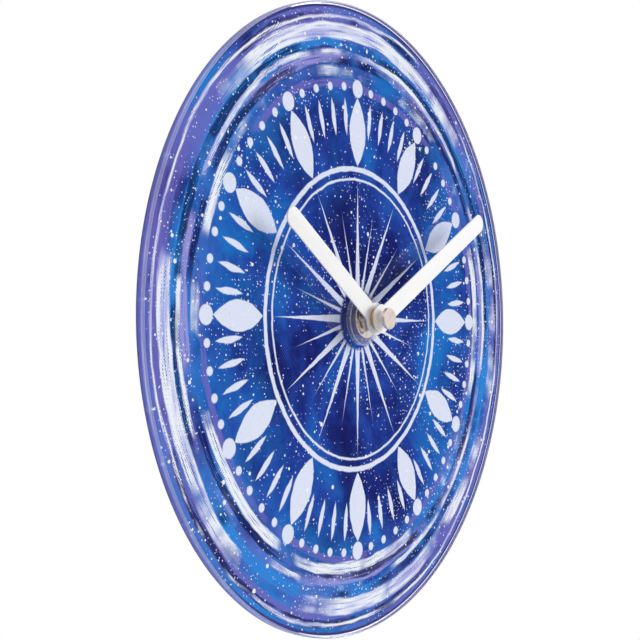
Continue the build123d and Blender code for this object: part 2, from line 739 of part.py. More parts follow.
def setting_knob():
    """A flat knob with a notched rim, and a cross slot for a fingernail or a coin."""
    knob_z1 = KNOB_SINK + KNOB_T
    knob = rod(KNOB_R, KNOB_SINK, knob_z1, setting_at)
    for notch in range(KNOB_NOTCHES):
        at = polar(KNOB_R, 360 * notch / KNOB_NOTCHES, setting_at)
        knob -= rod(KNOB_NOTCH_R, KNOB_SINK, knob_z1, at)
    x, y = setting_at
    slot_z1 = KNOB_SINK + KNOB_SLOT_DEPTH
    half_w = KNOB_SLOT_W / 2
    knob -= block(x - KNOB_SLOT_HALF, x + KNOB_SLOT_HALF, y - half_w, y + half_w, KNOB_SINK, slot_z1)
    knob -= block(x - half_w, x + half_w, y - KNOB_SLOT_HALF, y + KNOB_SLOT_HALF, KNOB_SINK, slot_z1)
    return knob - rod(SETTING_SHAFT_R + PRESS_GAP, knob_z1 - KNOB_SLOT_DEPTH, knob_z1, setting_at)


def clip_boxes(reach, play):
    """The snap clips on both sides of the rear cover or, with play, the windows that take them."""
    middle_z = REAR_COVER_T / 2
    middle_y = (divider_y1 + in_y1) / 2
    boxes = []
    for side in (-1, 1):
        for end in (-1, 1):
            x_a = side * (in_x - COVER_CLEARANCE - CLIP_T)
            x_b = side * (in_x + reach)
            y = middle_y + end * CLIP_OFFSET
            boxes.append(block(
                min(x_a, x_b),
                max(x_a, x_b),
                y - CLIP_W / 2 - play,
                y + CLIP_W / 2 + play,
                middle_z - CLIP_T / 2 - play,
                middle_z + CLIP_T / 2 + play,
            ))
    return boxes


def threaded_bush():
    """The tube round the hour pipe that takes the nut; its flange seats behind the front wall."""
    tube = rod(THREAD_R, bush_z0, bush_z1) + rod(BUSH_FLANGE_R, bush_z0, floor_z)
    return tube - rod(HOUR_PIPE_R + RUNNING_FIT, bush_z0, bush_z1)


def rear_cover():
    plate = block(
        -in_x + COVER_CLEARANCE,
        in_x - COVER_CLEARANCE,
        divider_y1 + COVER_CLEARANCE,
        in_y1 - COVER_CLEARANCE,
        0,
        REAR_COVER_T,
    )
    for box in clip_boxes(CLIP_REACH, 0):
        plate += box
    for at in pillars:
        plate += rod(PILLAR_R, REAR_COVER_T, plate_z0, at)
    return plate - rod(KNOB_R + KNOB_GAP, 0, REAR_COVER_T, setting_at)


def rail(y0, play):
    """The T rail on the case from level y0 up or, with play, the slot in the hanger that takes it."""
    neck_half = RAIL_NECK_W / 2 + play
    head_half = RAIL_HEAD_W / 2 + play
    head_y0 = out_y1 + RAIL_NECK_H - play
    neck = block(-neck_half, neck_half, y0, head_y0, 0, HANGER_T)
    return neck + block(-head_half, head_half, head_y0, rail_y1 + play, 0, HANGER_T)


def hanger():
    """The eye that hangs on a screw or nail; it slides over the case's rail up to the stop."""
    half = HANGER_HOLE_R + HANGER_WALL
    plate = block(-half, half, out_y1 + HANGER_PLAY, hanger_y, 0, HANGER_T)
    plate += rod(half, 0, HANGER_T, (0, hanger_y))
    plate -= rod(HANGER_HOLE_R, 0, HANGER_T, (0, hanger_y))
    return plate - rail(out_y1, HANGER_PLAY)


def front_case():
    """The moulded box: walls, divider, hanger rail, bosses, pillars and posts."""
    shell = rounded_block(-out_x, out_x, out_y0, out_y1, 0, case_depth, CASE_CORNER_R)
    levels = shell.edges().group_by(Axis.Z)
    shell = fillet(levels[0] + levels[-1], CASE_EDGE_R)
    shell -= block(-in_x, in_x, divider_y1, in_y1, 0, floor_z)
    shell -= block(-in_x, in_x, in_y0, divider_y0, 0, floor_z)
    for box in clip_boxes(CASE_WALL, COVER_CLEARANCE):
        shell -= box
    shell -= Pos(0, out_y0, 0) * Rot(90, 0, 0) * Cylinder(THUMB_NOTCH_R, 2 * CASE_WALL)

    bay_round = rod_along_x(CELL_R + CELL_CLEARANCE / 2, -in_x, in_x, cell_y, cell_z)
    for x in (-CRADLE_X, CRADLE_X):
        rib_x0 = x - CRADLE_T / 2
        rib = block(rib_x0, rib_x0 + CRADLE_T, in_y0, divider_y0, floor_z - CRADLE_RISE, floor_z)
        shell += rib - bay_round

    slot_x = in_x - CONTACT_T - COVER_CLEARANCE
    slot_z0 = cell_z - CONTACT_W / 2 - COVER_CLEARANCE
    slot_z1 = cell_z + CONTACT_W / 2 + COVER_CLEARANCE
    shell -= block(slot_x, in_x, divider_y0, divider_y1, slot_z0, slot_z1)
    shell -= block(-in_x, -slot_x, divider_y0, divider_y1, slot_z0, slot_z1)

    shell += rail(in_y1, 0)
    shell += block(-RAIL_HEAD_W / 2, RAIL_HEAD_W / 2, in_y1, rail_y1, HANGER_T, HANGER_T + RAIL_STOP_T)

    for at, boss_z in (
        (third_at, third_boss_z),
        (inter_at, inter_boss_z),
        (rotor_at, rotor_boss_z),
        (setting_at, setting_boss_z),
    ):
        shell += boss(at, boss_z)
    for at in pillars:
        shell += rod(PILLAR_R, plate_z1, floor_z, at)
        shell += rod(PILLAR_PIN_R, plate_z0, plate_z1, at)
    for at in board_posts:
        shell += rod(BOARD_POST_R, board_z1, floor_z, at)
        shell += rod(BOARD_PIN_R, board_z0 - AXIAL_GAP, board_z1, at)

    post_z0 = works_z0 - END_SHAKE
    shell += rod(POST_HEAD_R, post_z0 - POST_HEAD_T, post_z0, works_at)
    shell += rod(WORKS_POST_R, post_z0, floor_z, works_at)
    shell += rod(POST_HEAD_R, hour_z1 + PINION_OVERRUN + END_SHAKE, floor_z, works_at)
    return shell - rod(THREAD_R + PRESS_GAP, floor_z, case_depth)


PIECES = (
    acrylic_dial,
    printed_film,
    dial_gasket,
    clear_washer,
    metal_washer,
    hex_nut,
    hour_hand,
    hour_hand_bush,
    minute_hand,
    minute_hand_collet,
    cap_nut,
    hour_wheel,
    minute_pipe,
    minute_works_wheel,
    center_wheel,
    clutch_spring,
    third_wheel,
    second_wheel,
    second_arbor,
    intermediate_wheel,
    rotor_pinion,
    rotor_magnet,
    stator_plate,
    coil_core,
    coil_bobbin,
    coil_winding,
    train_plate,
    circuit_board,
    chip_cover,
    quartz_crystal,
    positive_contact,
    negative_contact,
    aa_cell,
    aa_cell_sleeve,
    setting_pinion,
    setting_knob,
    threaded_bush,
    rear_cover,
    hanger,
    front_case,
)

os.makedirs("parts", exist_ok=True)
for piece in PIECES:
    export_step(Rot(90, 0, 0) * piece(), f"parts/{piece.__name__}.step")
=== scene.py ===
import json
from math import asin, cos, pi, radians, sin, tan

import bmesh
import bpy
from mathutils import Matrix, Vector


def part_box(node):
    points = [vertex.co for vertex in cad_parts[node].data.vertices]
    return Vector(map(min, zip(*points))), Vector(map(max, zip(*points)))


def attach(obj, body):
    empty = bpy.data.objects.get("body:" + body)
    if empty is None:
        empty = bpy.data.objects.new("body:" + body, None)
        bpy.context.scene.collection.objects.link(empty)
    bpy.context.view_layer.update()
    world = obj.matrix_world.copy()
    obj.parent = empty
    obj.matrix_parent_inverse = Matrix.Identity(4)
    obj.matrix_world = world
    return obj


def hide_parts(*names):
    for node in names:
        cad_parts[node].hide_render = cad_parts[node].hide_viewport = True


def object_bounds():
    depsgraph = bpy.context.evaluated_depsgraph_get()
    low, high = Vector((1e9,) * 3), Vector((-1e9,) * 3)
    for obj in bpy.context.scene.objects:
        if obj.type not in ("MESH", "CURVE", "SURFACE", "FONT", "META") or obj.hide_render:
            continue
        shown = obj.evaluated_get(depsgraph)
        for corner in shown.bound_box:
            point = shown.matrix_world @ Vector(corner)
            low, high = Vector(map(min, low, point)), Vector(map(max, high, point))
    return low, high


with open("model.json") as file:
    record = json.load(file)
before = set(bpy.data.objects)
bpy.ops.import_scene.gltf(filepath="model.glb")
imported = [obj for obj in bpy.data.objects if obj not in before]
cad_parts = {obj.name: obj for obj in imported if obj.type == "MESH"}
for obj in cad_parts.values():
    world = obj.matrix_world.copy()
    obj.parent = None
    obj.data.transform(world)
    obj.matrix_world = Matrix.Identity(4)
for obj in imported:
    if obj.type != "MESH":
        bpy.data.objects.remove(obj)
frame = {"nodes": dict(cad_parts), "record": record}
cad_lo, cad_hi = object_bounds()

# Round frameless wall clock, in metres. The dial axis is Y: the front looks to -Y, the wall is at Y = 0.
MM = 0.001

# Camera at the photograph's angle
CAMERA_PLACE = Vector((-0.446318, -0.316955, -0.010649))
CAMERA_FORWARD = Vector((0.814936, 0.579238, 0.019065))
CAMERA_UP = Vector((-0.015843, -0.010618, 0.999818))
CAMERA_LENS = 68.906
CAMERA_SENSOR = 36.0
CAMERA_NEAR = 0.01

# Studio: SKY lights the clock, soft gloss and glass see ROOM, and mirror-sharp reflections see GLARE.
# A span is where a level changes, along one axis of the direction looked in.
FLOOR_DROP = 0.35
FLOOR_HALF = 0.8
FLOOR_GREY = 0.86
FLOOR_GLOW = 0.30
KEY_PLACE = Vector((3.75, -3.4, 1.4))
KEY_SIZE = (2.5, 2.5)
KEY_WATTS = 206.0
SKY_LEFT = 0.40
SKY_RIGHT = 0.60
SKY_SIDE_SPAN = (-0.8, 0.8)
SKY_BACK = 0.95
SKY_BACK_SPAN = (-0.5, 0.4)
ROOM_LOW = 0.60
ROOM_HIGH = 0.95
ROOM_HEIGHT_SPAN = (-0.5, 0.5)
GLARE_FRONT = 0.03
BACKDROP_SPAN = (-0.05, 0.25)

# Sizes that the frame's boxes don't give
DIAL_BORE_R = 4.3 * MM
DIAL_EDGE_R = 1.0 * MM
PRINT_SINK = 0.02 * MM
THREAD_R = 3.95 * MM
WASHER_BORE_R = THREAD_R + 0.2 * MM
CLEAR_WASHER_CORNER_R = 0.5 * MM
CLEAR_WASHER_LIFT = 0.03 * MM
METAL_WASHER_CORNER_R = 0.2 * MM
HAND_BEVEL = 0.10 * MM
HOUR_W = 8.4 * MM
HOUR_BASE_R = 7.1 * MM
HOUR_BORE_R = 3.42 * MM
HOUR_TURN = radians(-56.7)
MINUTE_W = 8.75 * MM
MINUTE_BASE_R = 6.3 * MM
MINUTE_BORE_R = 1.62 * MM
MINUTE_TURN = radians(61.45)
NUT_SIDES = 6
NUT_FLATS = 11.0 * MM
NUT_FACE_SHARE = 0.90
NUT_CHAMFER_TILT = radians(32)
CAP_NECK_R = 3.1 * MM
CAP_NECK_T = 2.6 * MM
CAP_FOOT_CORNER_R = 0.1 * MM
CAP_STEP_CORNER_R = 0.25 * MM
CAP_FACE_CORNER_R = 0.4 * MM
COLLAR_CORNER_R = 0.2 * MM
GROOVE_HALF = 0.35 * MM
GROOVE_DEPTH = 0.35 * MM
GROOVE_CORNER_R = 0.1 * MM
CELL_NUB_R = 2.7 * MM
CELL_NUB_L = 1.2 * MM
CELL_ROLL = 0.3 * MM
CELL_BASE_SHARE = 0.72
CELL_TOP_SHARE = 0.8
SLEEVE_LIP_SHARE = 0.86
SLEEVE_LIP_L = 0.4 * MM
SLEEVE_BAND_SHARE = 0.24

# How finely curves are cut
DIAL_STEPS = 512
DIAL_EDGE_STEPS = 8
SMALL_STEPS = 96
CORNER_STEPS = 5
CORNER_HOLD = 0.05
TIP_STEPS = 32
BASE_STEPS = 64
BORE_STEPS = 48
SHARP_DEGREES = 35.0
NUT_SHARP_DEGREES = 20.0
MERGE_DISTANCE = 1e-7

# Which way a face looks, by the Y of its normal: flat to the front or back, upright, or to the front
FLAT_FACE = 0.99
UPRIGHT_FACE = 0.05
NUT_UPRIGHT_FACE = 0.3
FRONT_FACE = -0.5


def srgb(red, green, blue):
    """A display colour from 0 to 255 as linear RGBA."""
    def linear(value):
        share = value / 255
        return share / 12.92 if share <= 0.04045 else ((share + 0.055) / 1.055) ** 2.4
    return linear(red), linear(green), linear(blue), 1.0


class Nodes:
    """A node tree, with short calls for the nodes used here."""

    def __init__(self, tree):
        self.tree = tree

    def feed(self, socket, value):
        if isinstance(value, bpy.types.NodeSocket):
            self.tree.links.new(value, socket)
        else:
            socket.default_value = value

    def node(self, kind, inputs=None, **settings):
        made = self.tree.nodes.new("ShaderNode" + kind)
        for key, value in settings.items():
            setattr(made, key, value)
        for key, value in (inputs or {}).items():
            self.feed(made.inputs[key], value)
        return made

    def math(self, operation, first, second=0.0, third=0.0):
        return self.node("Math", {0: first, 1: second, 2: third}, operation=operation).outputs[0]

    def times(self, first, second):
        return self.math("MULTIPLY", first, second)

    def most(self, first, second):
        return self.math("MAXIMUM", first, second)

    def line(self, value, slope, offset):
        return self.math("MULTIPLY_ADD", value, slope, offset)

    def vector(self, operation, first, second=(0.0, 0.0, 0.0)):
        return self.node("VectorMath", {0: first, 1: second}, operation=operation)

    def scaled(self, place, factor):
        return self.node("VectorMath", {0: place, "Scale": factor}, operation="SCALE").outputs[0]

    def split(self, place):
        return self.node("SeparateXYZ", {0: place}).outputs

    def join(self, x, y, z):
        return self.node("CombineXYZ", {0: x, 1: y, 2: z}).outputs[0]

    def noise(self, place, scale, detail=3.0, rough=0.5):
        inputs = {"Vector": place, "Scale": scale, "Detail": detail, "Roughness": rough}
        return self.node("TexNoise", inputs).outputs[0]

    def span(self, value, low, high, to_low=0.0, to_high=1.0):
        inputs = {0: value, 1: low, 2: high, 3: to_low, 4: to_high}
        return self.node("MapRange", inputs, interpolation_type="SMOOTHSTEP").outputs[0]

    def fade(self, share, first, second):
        """A number between two others."""
        return self.node("Mix", {0: share, 2: first, 3: second}).outputs[0]

    def mix(self, share, first, second):
        """A colour between two others."""
        return self.node("Mix", {0: share, 6: first, 7: second}, data_type="RGBA").outputs[2]

    def blend(self, share, first, second):
        """A shader between two others."""
        return self.node("MixShader", {0: share, 1: first, 2: second}).outputs[0]

    def ramp(self, value, stops):
        made = self.node("ValToRGB", {0: value})
        elements = made.color_ramp.elements
        while len(elements) < len(stops):
            elements.new(0.5)
        for element, (position, colour) in zip(elements, stops):
            element.position = position
            element.color = colour
        return made.outputs[0]


class Finish(Nodes):
    """A material; its values are the shader's own, such as roughness=0.3."""

    def __init__(self, name, **values):
        self.material = bpy.data.materials.new(name)
        self.material.use_nodes = True
        super().__init__(self.material.node_tree)
        self.shader = self.tree.nodes["Principled BSDF"]
        for key, value in values.items():
            self.surface(key.replace("_", " ").title().replace("Ior", "IOR"), value)

    def surface(self, name, value):
        self.feed(self.shader.inputs[name], value)

    def place(self):
        return self.node("TexCoord").outputs["Object"]

    def bump(self, height, distance, strength=0.3):
        inputs = {"Height": height, "Distance": distance, "Strength": strength}
        self.surface("Normal", self.node("Bump", inputs).outputs[0])

    def show(self, shader):
        self.feed(self.tree.nodes["Material Output"].inputs["Surface"], shader)


# Print behind the dial, in millimetres

NAVY = srgb(17, 18, 78)
INDIGO = srgb(24, 34, 110)
ULTRAMARINE = srgb(34, 68, 160)
AZURE = srgb(28, 118, 202)
CERULEAN = srgb(46, 138, 222)
CORNFLOWER = srgb(88, 124, 208)
VIOLET = srgb(110, 106, 190)
LILAC = srgb(160, 156, 224)
LAVENDER = srgb(176, 180, 234)
PALE = srgb(224, 230, 248)
WHITE = srgb(240, 244, 252)
MARGIN = srgb(64, 62, 128)
BACKING = srgb(226, 226, 228)

HOURS = 12
MINUTES = 60
CANVAS_PITCH = 1.4
MARGIN_R = 134.2
MARGIN_SOFT = 0.4

# Ground: the clouds' colours, and tints as (radius where they begin, radius where they are full, paint,
# shift of the marks)
CLOUDS = (
    (0.30, NAVY),
    (0.44, INDIGO),
    (0.55, ULTRAMARINE),
    (0.71, AZURE),
)
CLOUD_WARP = 60.0
GLOW_SHIFT = (310.0, 75.0, 0.0)
TINTS = (
    (88.0, 112.0, CERULEAN, 11.0),
    (92.0, 120.0, CORNFLOWER, 5.0),
    (104.0, 131.0, VIOLET, 0.0),
)

# Brushed rings: (radius, half width, shift of the marks, where the paint starts to cover)
RING_DRIFT = 4.5
RING_RAGGED = 1.2
COLOUR_RINGS = (
    (CERULEAN, ((119.5, 2.5, 41.0, 0.40),)),
    (VIOLET, ((129.0, 3.0, 47.0, 0.36), (103.0, 1.6, 59.0, 0.44))),
    (LILAC, ((113.0, 2.2, 53.0, 0.45),)),
)
DARK_RINGS = (
    (111.5, 1.7, 21.0, 0.42),
    (118.5, 2.1, 27.0, 0.40),
    (130.0, 1.6, 33.0, 0.44),
)
PALE_RINGS = (
    (124.5, 3.4, 0.0, 0.44),
    (107.5, 2.2, 9.0, 0.44),
    (115.5, 1.1, 4.0, 0.42),
    (131.0, 0.6, 14.0, 0.34),
)

# Marks: lenses (copies, middle, half length, half width), dots (copies, radius), thin rings (radius, half
# width), rays (copies, reach, half width at the centre) and specks (cell, largest radius, share of cells)
BRUSH_SHAKE = 0.6
LENSES = ((HOURS, 82.0, 15.0, 6.2), (MINUTES, 88.0, 8.0, 1.35))
DOTS_R = 101.0
DOTS = ((MINUTES, 1.8), (HOURS, 3.9))
THIN_RINGS = ((65.5, 1.1), (61.0, 0.5))
RAYS = ((2 * HOURS, 44.0, 1.25), (HOURS, 58.0, 2.3))
RAYS_START = (12.5, 14.5)
SPECKS = ((9.0, 0.95, 0.34), (4.0, 0.5, 0.55), (1.9, 0.28, 0.5))


class Print(Finish):
    """The dial's print, drawn about the dial axis."""

    def __init__(self, name, **values):
        super().__init__(name, **values)
        x, _, up = self.split(self.scaled(self.place(), 1 / MM))
        self.flat = self.join(x, up, 0.0)
        self.radius = self.vector("LENGTH", self.flat).outputs["Value"]
        self.turn = self.math("ARCTAN2", x, up)
        self.spoke = self.split(self.vector("NORMALIZE", self.flat).outputs[0])
        wave = 2 * pi / CANVAS_PITCH
        threads = [self.math("SINE", self.times(way, wave)) for way in (x, up)]
        self.weave = self.times(*threads)

    def streaks(self, along, across, shift=0.0):
        """Brush marks drawn round the dial: slow changes round it, quick ones across it."""
        place = self.join(
            self.times(self.spoke[0], along),
            self.times(self.spoke[1], along),
            self.line(self.radius, across, shift),
        )
        return self.noise(place, 1.0, detail=4.0, rough=0.6)

    def around(self, copies):
        """Sideways distance from the nearest of some evenly spaced spokes."""
        half = pi / copies
        return self.times(self.math("WRAP", self.turn, half, -half), self.radius)

    def apart(self, first, second):
        return self.math("ABSOLUTE", self.math("SUBTRACT", first, second))

    def within(self, distance, reach, soft=0.3):
        """1 where distance is under reach, with a soft edge."""
        return self.span(self.math("SUBTRACT", distance, reach), soft, -soft)

    def wash(self):
        """Clouds of night blue, lighter outwards: azure glows, tints near the rim and a trace of canvas."""
        warp = self.node("TexNoise", {"Vector": self.flat, "Scale": 0.013, "Detail": 3.0}).outputs[1]
        shift = self.scaled(self.vector("SUBTRACT", warp, (0.5, 0.5, 0.5)).outputs[0], CLOUD_WARP)
        place = self.vector("ADD", self.flat, shift).outputs[0]
        cloud = self.noise(place, 0.021, detail=8.0, rough=0.62)
        lift = self.span(self.radius, 20.0, 90.0, -0.03, 0.05)
        colour = self.ramp(self.math("ADD", cloud, lift), CLOUDS)

        glow_place = self.vector("ADD", place, GLOW_SHIFT).outputs[0]
        glow = self.span(self.noise(glow_place, 0.014, detail=5.0, rough=0.55), 0.49, 0.66)
        share = self.times(glow, self.span(self.radius, 40.0, 95.0))
        colour = self.mix(self.times(share, 0.85), colour, AZURE)

        for inner, outer, paint, mark_shift in TINTS:
            tint = self.span(self.streaks(2.2, 0.05, mark_shift), 0.42, 0.66)
            share = self.times(self.span(self.radius, inner, outer), tint)
            colour = self.mix(self.times(share, 0.8), colour, paint)

        worn = self.span(self.noise(self.flat, 0.09), 0.45, 0.65)
        thread = self.times(self.span(self.weave, 0.1, 1.0), worn)
        return self.mix(self.times(thread, 0.30), colour, CORNFLOWER)

    def bands(self, rings):
        """How much paint of some dry-brushed rings lies at each point."""
        total = 0.0
        for middle, half, shift, load_low in rings:
            drift = self.line(self.streaks(1.4, 0.0, shift), 2 * RING_DRIFT, middle - RING_DRIFT)
            ragged = self.line(self.streaks(6.0, 0.6, shift + 1.0), 2 * RING_RAGGED, half - RING_RAGGED)
            body = self.within(self.apart(self.radius, drift), ragged, 0.5)
            load = self.span(self.streaks(1.7, 0.01, shift + 3.0), load_low, load_low + 0.10)
            bristle = self.line(self.weave, 0.09, self.streaks(5.0, 1.3, shift))
            dry = self.span(bristle, 0.33, 0.45)
            total = self.most(self.times(self.times(body, load), dry), total)
        return total

    def strokes(self):
        """Lens-shaped hour and minute marks, dots, thin rings and a sunburst, drawn with a loaded brush."""
        shake = self.line(self.noise(self.flat, 0.16, detail=2.0), 2 * BRUSH_SHAKE, -BRUSH_SHAKE)
        paint = 0.0
        for copies, middle, half_l, half_w in LENSES:
            off = self.math("ABSOLUTE", self.math("ADD", self.around(copies), shake))
            along = self.math("DIVIDE", self.math("SUBTRACT", self.radius, middle), half_l)
            bulge = self.line(self.math("POWER", along, 2.0), -half_w, half_w)
            paint = self.most(self.within(off, bulge), paint)

        for copies, size in DOTS:
            sideways = self.math("POWER", self.around(copies), 2.0)
            outward = self.math("POWER", self.math("SUBTRACT", self.radius, DOTS_R), 2.0)
            distance = self.math("SQRT", self.math("ADD", sideways, outward))
            paint = self.most(paint, self.within(distance, size))

        for ring_r, half in THIN_RINGS:
            outward = self.math("SUBTRACT", self.radius, ring_r)
            off = self.math("ABSOLUTE", self.math("ADD", outward, shake))
            paint = self.most(paint, self.within(off, half))

        start = self.span(self.radius, *RAYS_START)
        for copies, reach, half in RAYS:
            off = self.math("ABSOLUTE", self.line(shake, 0.5, self.around(copies)))
            taper = self.math("SUBTRACT", half, self.times(self.radius, half / reach))
            paint = self.most(paint, self.times(self.within(off, taper, 0.2), start))
        load = self.span(self.noise(self.flat, 0.5, rough=0.6), 0.25, 0.45, 0.9, 1.0)
        return self.times(paint, load)

    def specks(self):
        """Spattered dots of paint in three sizes."""
        total = 0.0
        crowd = self.span(self.noise(self.flat, 0.03), 0.38, 0.62, 0.15, 1.0)
        for cell, largest, share in SPECKS:
            inputs = {"Vector": self.flat, "Scale": 1 / cell}
            dots = self.node("TexVoronoi", inputs, voronoi_dimensions="2D")
            odds = self.split(dots.outputs["Color"])
            size = self.times(self.line(odds[0], 0.7, 0.3), largest)
            dot = self.within(self.times(dots.outputs["Distance"], cell), size, 0.12)
            kept = self.math("LESS_THAN", odds[1], self.times(crowd, share))
            total = self.most(self.times(dot, kept), total)
        return total

    def picture(self):
        colour = self.wash()
        for paint, rings in (*COLOUR_RINGS, (NAVY, DARK_RINGS)):
            colour = self.mix(self.times(self.bands(rings), 0.85), colour, paint)
        chalk = self.mix(self.span(self.streaks(2.6, 0.25, 7.0), 0.34, 0.52), LAVENDER, WHITE)
        colour = self.mix(self.bands(PALE_RINGS), colour, chalk)
        colour = self.mix(self.strokes(), colour, PALE)
        colour = self.mix(self.times(self.specks(), 0.97), colour, WHITE)
        edge = self.span(self.radius, MARGIN_R - MARGIN_SOFT, MARGIN_R + MARGIN_SOFT)
        return self.mix(edge, colour, MARGIN)


def dial_print():
    finish = Print("dial_print", roughness=0.6, specular_ior_level=0.0)
    finish.surface("Base Color", finish.picture())
    return finish.material


def film_backing():
    """The white back of the film, with the print showing through a little."""
    finish = Print("film_backing", roughness=0.42)
    through = finish.span(finish.noise(finish.flat, 0.02, detail=5.0), 0.35, 0.65, 0.02, 0.10)
    finish.surface("Base Color", finish.mix(through, BACKING, ULTRAMARINE))
    finish.bump(finish.noise(finish.flat, 1.5, detail=4.0), 0.02 * MM)
    return finish.material


# Other finishes

ACRYLIC_IOR = 1.49
PLASTIC_IOR = 1.45


def acrylic(name, **values):
    """Acrylic that bends what is seen through it, and lets light go straight on to the print."""
    finish = Finish(name, IOR=ACRYLIC_IOR, **values)
    straight = finish.node("BsdfTransparent").outputs[0]
    path = finish.node("LightPath").outputs
    body = finish.blend(path["Is Diffuse Ray"], finish.shader.outputs[0], straight)
    finish.show(finish.blend(path["Is Shadow Ray"], body, straight))
    return finish


def clear_acrylic():
    tint = (0.98, 0.985, 1.0, 1.0)
    return acrylic("clear_acrylic", base_color=tint, transmission_weight=1.0, roughness=0.0).material


def acrylic_edge():
    """The disc's cut edge: buffed, not as clear as the faces, painted darker towards the back as shade and
    pale at its front corner as a painted highlight.
    """
    finish = acrylic("acrylic_edge", transmission_weight=0.72, roughness=0.4)
    x, depth, up = finish.split(finish.place())
    along = finish.join(finish.times(x, 0.1), depth, finish.times(up, 0.1))
    marks = finish.line(finish.noise(along, 900.0), 0.2, -0.1)
    lo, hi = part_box("acrylic_dial")
    # Painted light: the edge's colour runs from painted shade at the back, through blue-violet, to a
    # painted highlight at the front corner.
    forward = finish.span(depth, hi.y, lo.y)
    finish.surface("Base Color", finish.ramp(finish.math("ADD", forward, marks), (
        (0.04, srgb(40, 36, 108)),
        (0.25, srgb(92, 102, 204)),
        (0.70, srgb(108, 118, 214)),
        (0.92, srgb(216, 218, 248)),
    )))
    return finish.material


def clear_plastic():
    """Thin clear plastic with a little haze and gloss on its edges; at grazing angles more haze shows, as a
    painted highlight.
    """
    finish = Finish("clear_plastic", base_color=(0.66, 0.66, 0.78, 1.0), roughness=0.3)
    clear = finish.node("BsdfTransparent", {"Color": (0.95, 0.95, 0.97, 1.0)}).outputs[0]
    haze = finish.span(finish.noise(finish.place(), 300.0, detail=4.0), 0.3, 0.7, 0.10, 0.15)
    # Painted highlight: the lavender haze thickens at grazing angles so that the edges look lit.
    facing = finish.node("LayerWeight", {"Blend": 0.25}).outputs["Facing"]
    skim = finish.span(facing, 0.35, 0.95, 0.0, 0.6)
    body = finish.blend(finish.most(haze, skim), clear, finish.shader.outputs[0])
    gloss = finish.node("BsdfGlossy", {"Roughness": 0.08}).outputs[0]
    outside = finish.math("SUBTRACT", 1.0, finish.node("NewGeometry").outputs["Backfacing"])
    fresnel = finish.times(finish.node("Fresnel", {"IOR": PLASTIC_IOR}).outputs[0], outside)
    finish.show(finish.blend(fresnel, body, gloss))
    return finish.material


def plastic_rim():
    """The softened corners of the clear plastic, painted pale and half opaque as a highlight."""
    finish = Finish("plastic_rim", roughness=0.3)
    tone = finish.noise(finish.place(), 500.0)
    # Painted highlight: pale lavender on the corners stands in for the light they catch.
    finish.surface("Base Color", finish.mix(tone, srgb(196, 198, 228), srgb(226, 228, 246)))
    clear = finish.node("BsdfTransparent").outputs[0]
    body = finish.span(tone, 0.3, 0.7, 0.45, 0.65)
    finish.show(finish.blend(body, clear, finish.shader.outputs[0]))
    return finish.material


def white_paint():
    """Satin paint with a faint orange-peel and uneven gloss."""
    finish = Finish("white_paint", coat_weight=0.6, coat_roughness=0.06)
    place = finish.place()
    tone = finish.noise(place, 90.0, detail=4.0)
    finish.surface("Base Color", finish.mix(tone, (0.87, 0.87, 0.868, 1.0), (0.93, 0.93, 0.93, 1.0)))
    finish.surface("Roughness", finish.span(finish.noise(place, 400.0), 0.3, 0.7, 0.34, 0.46))
    finish.bump(finish.noise(place, 1800.0, detail=2.0), 0.01 * MM, 0.2)
    return finish.material


def turned_metal(name, colour, dark, rough):
    """Metal turned on a lathe about the dial axis: fine rings, and tarnish in patches."""
    finish = Finish(name, metallic=1.0)
    place = finish.place()
    x, depth, up = finish.split(place)
    radius = finish.vector("LENGTH", finish.join(x, 0.0, up)).outputs["Value"]
    rings = finish.noise(finish.join(radius, depth, 0.0), 5200.0, detail=2.0)
    patches = finish.noise(place, 420.0, detail=5.0, rough=0.6)
    finish.surface("Base Color", finish.mix(finish.span(patches, 0.42, 0.72), colour, dark))
    finish.surface("Roughness", finish.span(patches, 0.3, 0.7, rough * 0.8, rough * 1.3))
    finish.bump(rings, 0.02 * MM, 0.35)
    return finish.material


def moulded_plastic(name, colour, rough, grain=0.03):
    """Moulded plastic with a fine spark texture and slightly uneven tone."""
    finish = Finish(name)
    place = finish.place()
    light = tuple(min(1.0, value * 1.25 + 0.004) for value in colour[:3]) + (1.0,)
    finish.surface("Base Color", finish.mix(finish.noise(place, 150.0, detail=5.0), colour, light))
    uneven = finish.noise(place, 500.0)
    finish.surface("Roughness", finish.span(uneven, 0.3, 0.7, rough - 0.06, rough + 0.06))
    finish.bump(finish.noise(place, 3200.0, rough=0.6), grain * MM, 0.45)
    return finish.material


def sheet_metal(name, colour, rough):
    """Rolled or plated metal: marks drawn out along X, and slight stains."""
    finish = Finish(name, metallic=1.0)
    place = finish.place()
    x, depth, up = finish.split(place)
    marks = finish.noise(finish.join(finish.times(x, 0.06), depth, up), 6000.0)
    stains = finish.noise(place, 260.0, detail=5.0, rough=0.6)
    dark = tuple(value * 0.72 for value in colour[:3]) + (1.0,)
    finish.surface("Base Color", finish.mix(finish.span(stains, 0.4, 0.75), colour, dark))
    finish.surface("Roughness", finish.span(marks, 0.3, 0.7, rough * 0.75, rough * 1.35))
    finish.bump(marks, 0.01 * MM, 0.25)
    return finish.material


def wound_wire():
    """Enamelled copper wire wound side by side along X, painted dark in the grooves between turns and light
    along their crowns, as shade and highlight.
    """
    finish = Finish("copper_wire", metallic=1.0, roughness=0.3)
    inputs = {"Vector": finish.place(), "Scale": 1400.0, "Distortion": 0.4}
    turns = finish.node("TexWave", inputs, bands_direction="X").outputs["Fac"]
    # Painted shade and highlight: the waves that raise each turn also darken its grooves and lighten its
    # crown.
    finish.surface("Base Color", finish.mix(turns, srgb(120, 58, 24), srgb(214, 122, 66)))
    finish.bump(turns, 0.05 * MM, 0.6)
    return finish.material


